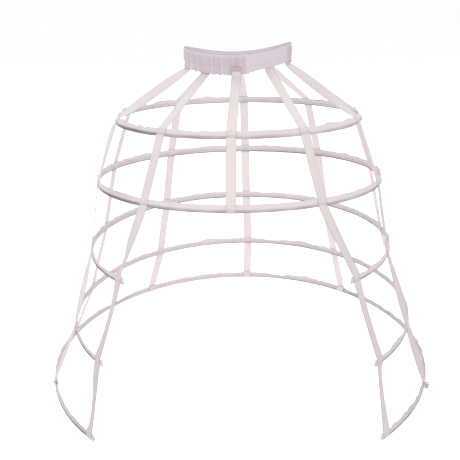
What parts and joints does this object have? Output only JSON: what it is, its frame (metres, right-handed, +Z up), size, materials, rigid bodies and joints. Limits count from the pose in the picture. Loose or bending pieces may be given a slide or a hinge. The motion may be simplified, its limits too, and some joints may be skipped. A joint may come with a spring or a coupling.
{
  "type": "crinoline cage",
  "caption": "Hoop skirt frame: gathered elastic waistband, hanging tapes and sprung hoops in sewn cloth casings, with the lower hoops open at the front.",
  "frame": {"origin": "centre of the waist opening, at the middle of the waistband's height", "axes": "+Z up along the body, -Y to the front, where the lower hoops are open, +X to the right seen from the front"},
  "size_m": [1.079, 0.9451, 0.972],
  "materials": {
    "band_cloth": "plain woven cotton, gathered",
    "elastic": "knitted elastic",
    "tape": "twill tape, matt",
    "casing_cloth": "plain woven cotton, puckered at the seam",
    "rod": "smooth, satin",
    "sleeve": "plain"
  },
  "bodies": {
    "root": {"waistband": "band_cloth", "waist_elastic": "elastic", "front_centre_tape": "tape", "front_left_tape": "tape", "front_right_tape": "tape", "side_front_left_tape": "tape", "side_front_right_tape": "tape", "side_back_left_tape": "tape", "side_back_right_tape": "tape", "back_left_tape": "tape", "back_right_tape": "tape", "back_centre_tape": "tape", "hoop_1_casing": "casing_cloth", "hoop_1_rod": "rod", "hoop_2_casing": "casing_cloth", "hoop_2_rod": "rod", "hoop_3_casing": "casing_cloth", "hoop_3_rod": "rod", "hoop_4_casing": "casing_cloth", "hoop_4_rod": "rod", "hoop_5_casing": "casing_cloth", "hoop_5_rod": "rod", "hoop_1_joiner": "sleeve", "hoop_2_joiner": "sleeve", "hoop_3_rod_tips": "sleeve", "hoop_3_end_covers": "casing_cloth", "hoop_4_rod_tips": "sleeve", "hoop_4_end_covers": "casing_cloth", "hoop_5_rod_tips": "sleeve", "hoop_5_end_covers": "casing_cloth"}
  },
  "joints": []
}
